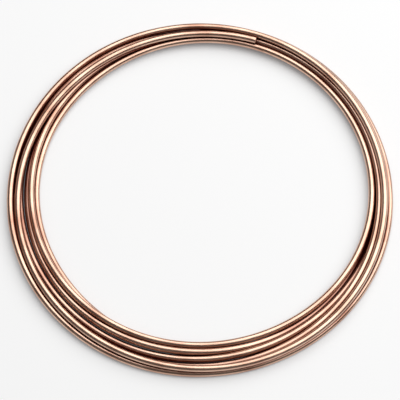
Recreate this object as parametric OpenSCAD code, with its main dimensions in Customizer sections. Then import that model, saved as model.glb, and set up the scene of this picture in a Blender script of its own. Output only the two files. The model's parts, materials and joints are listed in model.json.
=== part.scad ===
// Coil of brake line tubing: one length of soft metal tube wound into a low ring that lies flat.
// The coil's axis is +Z, the floor is z = 0, and the origin is on the floor at the coil's centre.
// The turns are two turned bodies that are joined: the outer turns, and the inner turns around an eye
// that lies off the coil's axis, so that the ring is wider on one side. Each turn shows as a round of
// its own, and the hidden hollows between neighbouring turns are filled.

/* [Tube] */
// Outside diameter of the tube
tube_od = 6.35; // [4.75:0.05:9.5]
// Thickness of the tube's wall
tube_wall = 0.71; // [0.5:0.01:1]
// Depth of the straight bore at the free end
bore_depth = 10; // [6:1:12]

/* [Coil] */
// Outside diameter of the coil, over its outermost turn
coil_od = 370; // [300:1:500]
// Turns that lie side by side on the floor
floor_turns = 4; // [4:1:6]
// Depth to which neighbouring turns run into each other, so that they are one body
turn_overlap = 0.1; // [0.05:0.05:0.3]

/* [Eye] */
// Distance of the eye's middle from the coil's axis
eye_shift = 6.5; // [4:0.5:8]
// Direction of the eye's middle from the coil's axis, anticlockwise from +X
eye_angle = 45; // [0:1:359]

/* [Free end] */
// Direction of the free end from the coil's axis, anticlockwise from +X
end_angle = 71; // [0:1:359]
// Angle over which the free end's stretch lies on the other turns
end_sweep = 70; // [30:1:180]
// Height by which the free end springs clear of the turns under it
end_lift = 0.8; // [0.6:0.1:1.2]

/* [Hidden] */
$fn = 96;

floor_layer = 0;
upper_layer = 1;
end_layer = 2;

tube_r = tube_od / 2;
bore_r = tube_r - tube_wall;
pitch = tube_od - turn_overlap;
layer_rise = pitch * sqrt(3) / 2;
outer_turn_r = coil_od / 2 - tube_r;

// The inner turns lie this many times wider apart than the outer ones
inner_spread = 1.25;
inner_pitch = pitch * inner_spread;
inner_rise = sqrt(pow(pitch, 2) - pow(inner_pitch / 2, 2));
// Radius of the turn at the eye, and radius at which the inner turns meet the outer ones
eye_turn_r = outer_turn_r - pitch * (floor_turns - 1);
meeting_r = eye_turn_r + inner_pitch;

// A filling triangle is this much larger than the triangle between three tube centres
fill_scale = 1.15;
// Width of the web under the free end's stretch, and height at which it starts among the turns
web_width = tube_od * 0.3;
web_foot = tube_od * 0.8;
// Angle over which the free end stands out beyond its web
web_setback = 5;
// Cutters reach this far beyond what they cut
cut_margin = 1;

// Centre of a turn's section: its distance from the axis and its height.
// The turns of each layer are nested in the hollows of the layer below.
function turn_at(layer, k) = [
    outer_turn_r - pitch * (k + layer / 2),
    tube_r + layer_rise * layer
];

// One turn more than stay whole, so that the eye's room is cut from filled turns
outer_floor_turns = floor_turns + 1;
outer_upper_turns = outer_floor_turns - 1;
end_at = turn_at(end_layer, 1) + [0, end_lift];

// Section of one turn
module turn_section(at) {
    translate(at) circle(r = tube_r);
}

// Filling of the hollow between three neighbouring turns
module hollow_section(a, b, c) {
    middle = (a + b + c) / 3;
    polygon([for (corner = [a, b, c]) middle + (corner - middle) * fill_scale]);
}

// The outer turns before the inner ones are let in: the turns on the floor and those nested on them
module outer_turns() {
    rotate_extrude() {
        for (k = [0 : outer_floor_turns - 1])
            turn_section(turn_at(floor_layer, k));
        for (k = [0 : outer_upper_turns - 1]) {
            turn_section(turn_at(upper_layer, k));
            hollow_section(
                turn_at(floor_layer, k),
                turn_at(floor_layer, k + 1),
                turn_at(upper_layer, k)
            );
        }
        for (k = [0 : outer_upper_turns - 2])
            hollow_section(
                turn_at(upper_layer, k),
                turn_at(upper_layer, k + 1),
                turn_at(floor_layer, k + 1)
            );
    }
}

// Places its children on the eye's own axis
module on_eye_axis() {
    rotate([0, 0, eye_angle])
        translate([eye_shift, 0, 0])
            children();
}

// The inner turns, cut off where they meet the outer ones
module inner_turns() {
    at_eye = [eye_turn_r, tube_r];
    at_meeting = [meeting_r, tube_r];
    on_top = [eye_turn_r + inner_pitch / 2, tube_r + inner_rise];
    on_eye_axis()
        rotate_extrude()
            intersection() {
                union() {
                    turn_section(at_eye);
                    turn_section(at_meeting);
                    turn_section(on_top);
                    hollow_section(at_eye, at_meeting, on_top);
                }
                square([meeting_r, on_top[1] + tube_od]);
            }
}

// Room for the inner turns
module eye_room() {
    on_eye_axis()
        translate([0, 0, -cut_margin])
            cylinder(r = meeting_r, h = layer_rise + tube_od + 2 * cut_margin);
}

// The last stretch of tube, which lies on the other turns and ends in the free end
module end_stretch() {
    rotate_extrude(angle = end_sweep, start = end_angle)
        turn_section(end_at);
    rotate_extrude(angle = end_sweep - web_setback, start = end_angle + web_setback)
        translate([end_at[0] - web_width / 2, web_foot])
            square([web_width, end_at[1] - web_foot]);
}

// Straight bore in the cut face of the free end
module end_bore() {
    rotate([0, 0, end_angle])
        translate([end_at[0], -cut_margin, end_at[1]])
            rotate([-90, 0, 0])
                cylinder(r = bore_r, h = bore_depth + cut_margin);
}

module tubing() {
    color([0.72, 0.46, 0.35])
        difference() {
            union() {
                difference() {
                    outer_turns();
                    eye_room();
                }
                inner_turns();
                end_stretch();
            }
            end_bore();
        }
}

tubing();
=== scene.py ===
"""Coil of brake line tubing.

One length of soft copper-nickel tube, wound into a loose ring that lies flat on a pale floor.
"""

import json
import math

import bmesh
import bpy
import numpy as np
from bpy.props import FloatProperty, FloatVectorProperty, IntProperty, PointerProperty
from bpy.types import Operator, Panel, PropertyGroup
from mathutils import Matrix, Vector


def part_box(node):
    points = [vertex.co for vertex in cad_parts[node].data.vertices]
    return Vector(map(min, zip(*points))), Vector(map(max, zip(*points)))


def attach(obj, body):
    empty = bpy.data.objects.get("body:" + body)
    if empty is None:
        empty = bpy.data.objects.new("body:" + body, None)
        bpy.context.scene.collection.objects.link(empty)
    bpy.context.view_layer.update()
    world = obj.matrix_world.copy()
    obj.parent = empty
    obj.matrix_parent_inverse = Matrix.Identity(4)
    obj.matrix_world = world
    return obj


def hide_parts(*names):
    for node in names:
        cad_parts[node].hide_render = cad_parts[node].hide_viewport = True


bl_info = {
    "name": "Brake Line Tubing Coil",
    "version": (1, 0, 0),
    "blender": (4, 5, 0),
    "location": "View3D > Sidebar > Coil",
    "description": "Winds a loose coil of soft metal tube and lays it on a pale floor",
    "category": "Add Mesh",
}

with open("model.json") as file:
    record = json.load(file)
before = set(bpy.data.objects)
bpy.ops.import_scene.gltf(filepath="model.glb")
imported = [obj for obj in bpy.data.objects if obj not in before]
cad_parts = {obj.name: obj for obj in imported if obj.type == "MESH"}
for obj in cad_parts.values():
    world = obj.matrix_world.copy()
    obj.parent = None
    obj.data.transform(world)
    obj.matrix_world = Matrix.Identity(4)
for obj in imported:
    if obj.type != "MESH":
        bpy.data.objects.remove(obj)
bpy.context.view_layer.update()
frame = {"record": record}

MM = 0.001
END_MOUNT = next(m for m in frame["record"]["mounts"] if m["name"] == "end_bore")
END_PLACE = Vector(END_MOUNT["pos_m"])
BORE_RADIUS = END_MOUNT["dims"]["r_mm"] * MM
COIL_LOW, COIL_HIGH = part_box("tubing")
COIL_RADIUS = (COIL_HIGH.x - COIL_LOW.x) / 2
SLICE_STEP = 10
# Turns touch at this distance or more apart, in degrees along the tube: nearer slices are one stretch.
LEAST_TURN_APART = 180

# Settling happens in rounds. Each round evens out the bends by a share of their stiffness, pulls each
# slice a share of the way back to where it was laid, lowers it by its weight and pushes touching turns
# apart. The closing rounds only push, with little stiffness, so that no overlap is left.
SETTLE_ROUNDS = 2500
CLOSING_ROUNDS = 400
PUSHES_IN_A_ROUND = 4
STIFFNESS, PULL, WEIGHT = 0.10, 0.03, 0.002
CLOSING_STIFFNESS = 0.02

# How the turns lie, from the free end on, anticlockwise. One row is one turn, and its pairs are the
# places at 90, 120, 150 ... 420 degrees from +X. A pair is how far in from the coil's outermost line and
# how high above the floor the tube lies, both in tube diameters. These are starting places: the tube
# then settles, so that no two turns are closer than their diameter and none is below the floor.
STATION_STEP = 30
FIRST_STATION = 90
LAY = [
    [(2.2, 1.8), (2.5, 1.8), (1.9, 0.9), (1.1, 0.9), (0.7, 1.0), (0.6, 1.1),
     (0.4, 1.1), (0.6, 1.3), (0.8, 1.4), (1.0, 1.6), (1.0, 1.7), (1.1, 1.8)],
    [(1.2, 1.8), (1.3, 1.1), (1.0, 0.9), (0.1, 1.0), (-0.2, 0.7), (-0.2, 0.2),
     (0.0, 0.0), (-0.1, 0.0), (0.0, 0.0), (0.0, 0.0), (0.0, 0.0), (0.0, 0.0)],
    [(0.1, 0.0), (0.7, 0.0), (0.5, 0.0), (0.2, 0.0), (0.4, 0.0), (0.8, 0.1),
     (1.1, 0.4), (1.3, 0.9), (1.6, 1.0), (1.7, 1.0), (1.5, 0.9), (1.5, 0.9)],
    [(1.6, 0.9), (2.0, 0.9), (1.3, 0.0), (1.6, 0.0), (1.7, 0.0), (1.8, 0.0),
     (1.7, 0.0), (2.1, 0.9), (2.0, 0.2), (1.3, 0.0), (1.0, 0.0), (1.0, 0.0)],
    [(1.1, 0.0), (1.5, 0.0), (2.3, 0.0), (2.6, 0.0), (2.7, 0.1), (2.9, 0.7),
     (3.1, 0.9), (2.8, 0.6), (2.5, 0.0), (2.2, 0.0), (2.0, 0.0), (2.0, 0.0)],
    [(2.1, 0.0), (2.3, 0.0), (2.5, 0.9), (3.2, 0.7), (3.5, 0.5), (3.6, 0.7),
     (4.0, 0.5), (3.2, 0.9), (3.1, 0.8), (2.7, 0.9), (2.5, 0.9), (2.5, 0.9)],
    [(2.6, 0.9), (2.7, 0.9), (2.9, 0.0), (3.9, 0.0), (4.3, 0.0), (4.2, 0.0),
     (2.7, 0.0), (1.9, 0.0), (1.0, 0.0), (0.6, 0.8), (0.5, 0.9), (0.5, 0.9)],
    [(0.6, 0.9)],
]


class TubeSizes(PropertyGroup):
    """Sizes of the tube and of its winding."""

    diameter: FloatProperty(
        name="Diameter", description="Outside diameter of the tube",
        default=6.35 * MM, unit="LENGTH", precision=5,
    )
    contact_gap: FloatProperty(
        name="Contact gap", description="Gap left where turns lie on each other",
        default=0.06 * MM, unit="LENGTH", precision=5,
    )
    bore_depth: FloatProperty(
        name="Bore depth", description="Depth to which the tube is open at its ends",
        default=30 * MM, unit="LENGTH",
    )
    edge_break: FloatProperty(
        name="Edge break", description="Rounding at the outer edge of each cut end",
        default=0.18 * MM, unit="LENGTH", precision=5,
    )
    sides: IntProperty(name="Sides", description="Facets around the tube", default=32, min=12)
    rings: IntProperty(
        name="Rings in a turn", description="Cross-sections along one turn", default=240, min=90
    )


class FinishColours(PropertyGroup):
    """Colours of the metal."""

    metal: FloatVectorProperty(
        name="Metal", description="Colour of the drawn metal", subtype="COLOR", size=3,
        default=(0.74, 0.49, 0.37)
    )
    tarnish: FloatVectorProperty(
        name="Tarnish", description="Colour where the metal has darkened", subtype="COLOR", size=3,
        default=(0.44, 0.22, 0.15)
    )
    # Painted shade: the colour that the metal darkens to in the hollows between turns and on the lower
    # flanks.
    painted_shade: FloatVectorProperty(
        name="Hollows", description="Colour in the narrow hollows between turns", subtype="COLOR", size=3,
        default=(0.13, 0.018, 0.009),
    )


class StageSizes(PropertyGroup):
    """Camera, floor and lights."""

    elevation: FloatProperty(
        name="Elevation", description="Angle of the view above the floor",
        default=math.radians(66.3), subtype="ANGLE",
    )
    distance: FloatProperty(
        name="Distance", description="Distance of the camera from the coil",
        default=1.9, unit="LENGTH",
    )
    view_width: FloatProperty(
        name="View width", description="Width of floor that the view shows at the coil",
        default=0.384, unit="LENGTH",
    )
    aim: FloatProperty(
        name="Aim", description="How far behind the coil's centre the camera is aimed",
        default=-0.0055, unit="LENGTH",
    )
    floor: FloatVectorProperty(
        name="Floor", description="Colour of the floor", subtype="COLOR", size=3,
        default=(0.95, 0.95, 0.95),
    )
    floor_glow: FloatProperty(
        name="Floor glow", description="Share of pure white in the floor as it is seen",
        default=0.55, min=0, max=0.9,
    )


# ---------------------------------------------------------------- winding


def laid_places(sizes):
    """Angles, and places (in, up) in tube diameters, at every slice along the tube from its free end."""
    end_angle = math.degrees(math.atan2(END_PLACE.y, END_PLACE.x))
    end_radius = math.hypot(END_PLACE.x, END_PLACE.y)
    outer_line = COIL_RADIUS - sizes.diameter / 2
    end_place = ((outer_line - end_radius) / sizes.diameter, END_PLACE.z / sizes.diameter - 0.5)
    pairs = [pair for row in LAY for pair in row]
    station_angles = [end_angle] + [FIRST_STATION + STATION_STEP * i for i in range(len(pairs))]
    places = np.array([end_place] + pairs)
    angles = np.arange(FIRST_STATION - SLICE_STEP, station_angles[-1] + 1, SLICE_STEP, dtype=float)
    angles = np.concatenate([[end_angle], angles])
    laid = np.stack([np.interp(angles, station_angles, places[:, axis]) for axis in (0, 1)], axis=1)
    return angles, laid


def room_for(angles, sizes):
    """The least that the tube may lie in, at each slice, and the most that it may lie up."""
    across = np.maximum(np.abs(np.cos(np.radians(angles))), np.abs(np.sin(np.radians(angles))))
    widest = COIL_RADIUS / across - COIL_RADIUS
    least_in = np.maximum(-widest / sizes.diameter, -0.5)
    most_up = (COIL_HIGH.z - COIL_LOW.z) / sizes.diameter - 1
    return least_in, most_up


def settle(angles, laid, sizes):
    """Moves slices of neighbouring turns apart until the tube overlaps neither itself nor the floor."""
    closest = 1 + sizes.contact_gap / sizes.diameter
    least_in, most_up = room_for(angles, sizes)
    slots = np.round(angles / SLICE_STEP).astype(int) % (360 // SLICE_STEP)
    first, second = [], []
    for a in range(len(angles)):
        for b in range(a + 1, len(angles)):
            if slots[a] == slots[b] and angles[b] - angles[a] > LEAST_TURN_APART:
                first.append(a)
                second.append(b)
    first, second = np.array(first), np.array(second)
    places = laid.copy()
    stiffness, pull, weight = STIFFNESS, PULL, WEIGHT
    for done in range(SETTLE_ROUNDS):
        if done == SETTLE_ROUNDS - CLOSING_ROUNDS:
            stiffness, pull, weight = CLOSING_STIFFNESS, 0, 0
        bend = np.zeros_like(places)
        bend[1:-1] = places[:-2] + places[2:] - 2 * places[1:-1]
        stiff = np.zeros_like(places)
        stiff[1:-1] = bend[:-2] + bend[2:] - 2 * bend[1:-1]
        places -= stiffness * stiff
        places += pull * (laid - places)
        places[:, 1] -= weight
        places[0] = laid[0]
        for _ in range(PUSHES_IN_A_ROUND):
            apart = places[first] - places[second]
            distance = np.maximum(np.hypot(apart[:, 0], apart[:, 1]), 1e-6)
            push = (np.maximum(0, closest - distance) / distance / 2)[:, None] * apart
            np.add.at(places, first, push)
            np.add.at(places, second, -push)
            places[:, 0] = np.maximum(places[:, 0], least_in)
            places[:, 1] = np.clip(places[:, 1], 0, most_up)
            places[0] = laid[0]
    return places


def smooth_between(x, y, at):
    """Values at the points at of a smooth curve through the points x, y (a natural cubic spline)."""
    n = len(x)
    h = np.diff(x)
    system = np.eye(n)
    right = np.zeros((n, y.shape[1]))
    for i in range(1, n - 1):
        system[i, i - 1 : i + 2] = h[i - 1], 2 * (h[i - 1] + h[i]), h[i]
        right[i] = 6 * ((y[i + 1] - y[i]) / h[i] - (y[i] - y[i - 1]) / h[i - 1])
    curve = np.linalg.solve(system, right)
    k = np.clip(np.searchsorted(x, at) - 1, 0, n - 2)
    a, b, w = (x[k + 1] - at)[:, None], (at - x[k])[:, None], h[k][:, None]
    return (
        curve[k] * a**3 / (6 * w)
        + curve[k + 1] * b**3 / (6 * w)
        + (y[k] / w - curve[k] * w / 6) * a
        + (y[k + 1] / w - curve[k + 1] * w / 6) * b
    )


def tube_route(sizes):
    """Points along the middle of the tube, in metres, from the free end to the end under the turns."""
    angles, laid = laid_places(sizes)
    places = settle(angles, laid, sizes)
    count = int(sizes.rings * (angles[-1] - angles[0]) / 360)
    fine = np.linspace(angles[0], angles[-1], count)
    smooth = smooth_between(angles, places, fine)
    radius = COIL_RADIUS - sizes.diameter / 2 - smooth[:, 0] * sizes.diameter
    height = sizes.diameter / 2 + np.maximum(smooth[:, 1], 0) * sizes.diameter
    turn = np.radians(fine)
    return np.stack([radius * np.cos(turn), radius * np.sin(turn), height], axis=1)


# ---------------------------------------------------------------- tube mesh


def tube_mesh(name, route, sizes):
    """A closed mesh of the tube: its outside, its cut ends and the bore at both ends."""
    step = np.linalg.norm(np.diff(route, axis=0), axis=1)
    length = np.concatenate([[0], np.cumsum(step)])
    tangent = np.gradient(route, axis=0)
    tangent /= np.linalg.norm(tangent, axis=1)[:, None]
    side = np.cross(tangent, [0, 0, 1])
    side /= np.linalg.norm(side, axis=1)[:, None]
    up = np.cross(side, tangent)

    def place(at):
        at = min(max(at, 0), length[-1])
        return [np.array([np.interp(at, length, v[:, i]) for i in range(3)]) for v in (route, side, up)]

    outer = sizes.diameter / 2
    chamfer = sizes.edge_break
    depth = sizes.bore_depth
    # Rings from the bottom of the free end's bore, out over its cut face, along the tube and in again.
    rings = [(depth, BORE_RADIUS), (depth / 2, BORE_RADIUS), (chamfer, BORE_RADIUS)]
    rings += [(0, BORE_RADIUS + chamfer / 2)]
    rings += [(0, outer - chamfer), (chamfer / 3, outer - chamfer / 3), (chamfer, outer)]
    rings += [(at, outer) for at in length[1:-1]]
    end = length[-1]
    rings += [(end - chamfer, outer), (end - chamfer / 3, outer - chamfer / 3), (end, outer - chamfer)]
    rings += [(end, BORE_RADIUS + chamfer / 2), (end - chamfer, BORE_RADIUS)]
    rings += [(end - depth / 2, BORE_RADIUS), (end - depth, BORE_RADIUS)]

    mesh = bmesh.new()
    along = mesh.loops.layers.uv.new("along")
    loops = []
    for at, radius in rings:
        middle, across, above = place(at)
        ring = []
        for i in range(sizes.sides):
            turn = 2 * math.pi * i / sizes.sides
            outward = math.cos(turn) * across + math.sin(turn) * above
            ring.append(mesh.verts.new(middle + radius * outward))
        loops.append(ring)
    for r in range(len(loops) - 1):
        for i in range(sizes.sides):
            j = (i + 1) % sizes.sides
            face = mesh.faces.new((loops[r][i], loops[r][j], loops[r + 1][j], loops[r + 1][i]))
            face.smooth = True
            spots = ((i, r), (i + 1, r), (i + 1, r + 1), (i, r + 1))
            for loop, (around, ring) in zip(face.loops, spots):
                loop[along].uv = (around / sizes.sides, rings[ring][0])
    mesh.faces.new(reversed(loops[0]))
    mesh.faces.new(loops[-1])
    bmesh.ops.recalc_face_normals(mesh, faces=mesh.faces)
    data = bpy.data.meshes.new(name)
    mesh.to_mesh(data)
    mesh.free()
    piece = bpy.data.objects.new(name, data)
    bpy.context.scene.collection.objects.link(piece)
    return piece, end


# ---------------------------------------------------------------- materials


# Reach within which neighbouring turns and the floor darken a spot of the metal with painted shade, and
# the openness at which the painted shade starts and is full
PAINTED_SHADE_REACH = 9 * MM
UNSHADED_ABOVE, FULL_SHADE_BELOW = 0.92, 0.27
# Roughness between and on the faint lines left by drawing, and the depth of those lines
SMOOTHEST, ROUGHEST = 0.22, 0.36
DRAW_LINE_DEPTH = 0.05 * MM
# Reach within which the coil dims the floor's own white with painted shade
FLOOR_FADE_REACH = 16 * MM


def drawn_copper_nickel(colours):
    """Drawn copper-nickel: satin, with faint lines along the tube, patches of tarnish, and painted shade
    in the hollows between the turns and on the lower flanks.
    """
    material = bpy.data.materials.new("drawn_copper_nickel")
    material.use_nodes = True
    nodes, links = material.node_tree.nodes, material.node_tree.links
    surface = nodes["Principled BSDF"]
    surface.inputs["Metallic"].default_value = 1.0
    place = nodes.new("ShaderNodeTexCoord")

    patches = nodes.new("ShaderNodeTexNoise")
    patches.inputs["Scale"].default_value = 28
    patches.inputs["Detail"].default_value = 5
    links.new(place.outputs["Object"], patches.inputs["Vector"])
    spread = nodes.new("ShaderNodeMapRange")
    spread.inputs["From Min"].default_value = 0.42
    spread.inputs["From Max"].default_value = 0.74
    links.new(patches.outputs["Fac"], spread.inputs["Value"])
    colour = nodes.new("ShaderNodeMix")
    colour.data_type = "RGBA"
    colour.inputs["A"].default_value = (*colours.metal, 1)
    colour.inputs["B"].default_value = (*colours.tarnish, 1)
    links.new(spread.outputs["Result"], colour.inputs["Factor"])

    # Painted shade: the metal darkens towards a dark red where neighbouring turns and the floor are near,
    # in the hollows between the turns and on the lower flanks.
    depth = nodes.new("ShaderNodeAmbientOcclusion")
    depth.inputs["Distance"].default_value = PAINTED_SHADE_REACH
    shade_amount = nodes.new("ShaderNodeMapRange")
    shade_amount.inputs["From Min"].default_value = UNSHADED_ABOVE
    shade_amount.inputs["From Max"].default_value = FULL_SHADE_BELOW
    links.new(depth.outputs["AO"], shade_amount.inputs["Value"])
    painted_shade = nodes.new("ShaderNodeMix")
    painted_shade.data_type = "RGBA"
    painted_shade.inputs["B"].default_value = (*colours.painted_shade, 1)
    links.new(shade_amount.outputs["Result"], painted_shade.inputs["Factor"])
    links.new(colour.outputs["Result"], painted_shade.inputs["A"])
    links.new(painted_shade.outputs["Result"], surface.inputs["Base Color"])

    lines = nodes.new("ShaderNodeUVMap")
    lines.uv_map = "along"
    stretch = nodes.new("ShaderNodeMapping")
    stretch.inputs["Scale"].default_value = (60, 6, 1)
    links.new(lines.outputs["UV"], stretch.inputs["Vector"])
    draw_lines = nodes.new("ShaderNodeTexNoise")
    draw_lines.inputs["Scale"].default_value = 1
    draw_lines.inputs["Detail"].default_value = 4
    links.new(stretch.outputs["Vector"], draw_lines.inputs["Vector"])
    roughness = nodes.new("ShaderNodeMapRange")
    roughness.inputs["To Min"].default_value = SMOOTHEST
    roughness.inputs["To Max"].default_value = ROUGHEST
    links.new(draw_lines.outputs["Fac"], roughness.inputs["Value"])
    links.new(roughness.outputs["Result"], surface.inputs["Roughness"])
    bump = nodes.new("ShaderNodeBump")
    bump.inputs["Strength"].default_value = 0.06
    bump.inputs["Distance"].default_value = DRAW_LINE_DEPTH
    links.new(draw_lines.outputs["Fac"], bump.inputs["Height"])
    links.new(bump.outputs["Normal"], surface.inputs["Normal"])
    return material


def floor_paint(stage):
    """Matt pale paint, lit like the coil, with a share of the floor's own white where it is seen."""
    material = bpy.data.materials.new("pale_floor")
    material.use_nodes = True
    nodes, links = material.node_tree.nodes, material.node_tree.links
    surface = nodes["Principled BSDF"]
    surface.inputs["Roughness"].default_value = 0.9
    surface.inputs["Specular IOR Level"].default_value = 0.1
    surface.inputs["Base Color"].default_value = (*stage.floor, 1)
    # The floor's own white is mixed in where it is seen, in the metal too. The rest of the floor is lit
    # like the coil, so it keeps the coil's shadow.
    rays = nodes.new("ShaderNodeLightPath")
    seen = rays.outputs["Is Camera Ray"]
    for kind in ("Is Glossy Ray", "Is Transmission Ray"):
        either = nodes.new("ShaderNodeMath")
        either.operation = "MAXIMUM"
        links.new(seen, either.inputs[0])
        links.new(rays.outputs[kind], either.inputs[1])
        seen = either.outputs["Value"]
    share = nodes.new("ShaderNodeMath")
    share.operation = "MULTIPLY"
    share.inputs[1].default_value = stage.floor_glow
    links.new(seen, share.inputs[0])
    # Painted shade: close to the coil and in its gaps the floor's own white fades, where the floor gets
    # less light.
    open_floor = nodes.new("ShaderNodeAmbientOcclusion")
    open_floor.inputs["Distance"].default_value = FLOOR_FADE_REACH
    faded = nodes.new("ShaderNodeMath")
    faded.operation = "MULTIPLY"
    links.new(share.outputs["Value"], faded.inputs[0])
    links.new(open_floor.outputs["AO"], faded.inputs[1])
    white = nodes.new("ShaderNodeEmission")
    both = nodes.new("ShaderNodeMixShader")
    links.new(faded.outputs["Value"], both.inputs["Fac"])
    links.new(surface.outputs["BSDF"], both.inputs[1])
    links.new(white.outputs["Emission"], both.inputs[2])
    links.new(both.outputs["Shader"], nodes["Material Output"].inputs["Surface"])
    return material


# ---------------------------------------------------------------- operators

# Sizes in metres, power in watts. Lamp and world together light a level surface at about its own colour.
FLOOR_SIZE = 40
SOFTBOX_PLACE = (0.75, 0.7, 1.65)
SOFTBOX_SIZE = 2.8
SOFTBOX_POWER = 60
WORLD_STRENGTH = 0.12


class COIL_OT_tubing(Operator):
    """Wind the tube into the coil"""

    bl_idname = "coil.tubing"
    bl_label = "Tubing"

    def execute(self, context):
        sizes = context.scene.coil_tube
        route = tube_route(sizes)
        tube, length = tube_mesh("wound_tube", route, sizes)
        tube.data.materials.append(drawn_copper_nickel(context.scene.coil_finish))
        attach(tube, "root")
        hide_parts("tubing")
        print("length of the tube, metres:", round(length, 3))
        return {"FINISHED"}


class COIL_OT_stage(Operator):
    """Set up the floor, the lights and the camera"""

    bl_idname = "coil.stage"
    bl_label = "Stage"

    def execute(self, context):
        scene = context.scene
        stage = scene.coil_stage
        bpy.ops.mesh.primitive_plane_add(size=FLOOR_SIZE, location=(0, 0, 0))
        floor = context.object
        floor.name = "floor"
        floor.data.materials.append(floor_paint(stage))

        light = bpy.data.lights.new("softbox", "AREA")
        light.shape = "SQUARE"
        light.size = SOFTBOX_SIZE
        light.energy = SOFTBOX_POWER
        softbox = bpy.data.objects.new("softbox", light)
        softbox.location = SOFTBOX_PLACE
        softbox.rotation_euler = (-Vector(SOFTBOX_PLACE)).to_track_quat("-Z", "Y").to_euler()
        scene.collection.objects.link(softbox)

        world = bpy.data.worlds.new("studio")
        world.use_nodes = True
        background = world.node_tree.nodes["Background"]
        background.inputs["Color"].default_value = (1, 1, 1, 1)
        background.inputs["Strength"].default_value = WORLD_STRENGTH
        scene.world = world

        camera = bpy.data.objects.new("camera", bpy.data.cameras.new("camera"))
        centre = Vector((0, stage.aim, COIL_LOW.z))
        away = Vector((0, -math.cos(stage.elevation), math.sin(stage.elevation)))
        camera.location = centre + away * stage.distance
        camera.rotation_euler = away.to_track_quat("Z", "Y").to_euler()
        camera.data.lens = camera.data.sensor_width * stage.distance / stage.view_width
        scene.collection.objects.link(camera)
        scene.camera = camera
        scene.view_settings.view_transform = "Standard"
        return {"FINISHED"}


class COIL_PT_panel(Panel):
    """Sizes, colours and steps of the coil"""

    bl_label = "Tubing coil"
    bl_idname = "COIL_PT_panel"
    bl_space_type = "VIEW_3D"
    bl_region_type = "UI"
    bl_category = "Coil"

    def draw(self, context):
        layout = self.layout
        for group in (context.scene.coil_tube, context.scene.coil_finish, context.scene.coil_stage):
            box = layout.box()
            for name in group.bl_rna.properties.keys():
                if name not in {"rna_type", "name"}:
                    box.prop(group, name)
        for operator in OPERATORS:
            layout.operator(operator.bl_idname)


GROUPS = {"coil_tube": TubeSizes, "coil_finish": FinishColours, "coil_stage": StageSizes}
OPERATORS = (COIL_OT_tubing, COIL_OT_stage)
CLASSES = (*GROUPS.values(), *OPERATORS, COIL_PT_panel)


def register():
    for cls in CLASSES:
        bpy.utils.register_class(cls)
    for name, group in GROUPS.items():
        setattr(bpy.types.Scene, name, PointerProperty(type=group))


def unregister():
    for name in GROUPS:
        delattr(bpy.types.Scene, name)
    for cls in reversed(CLASSES):
        bpy.utils.unregister_class(cls)


def main():
    register()
    bpy.ops.coil.tubing()
    bpy.ops.coil.stage()


if __name__ == "__main__":
    main()
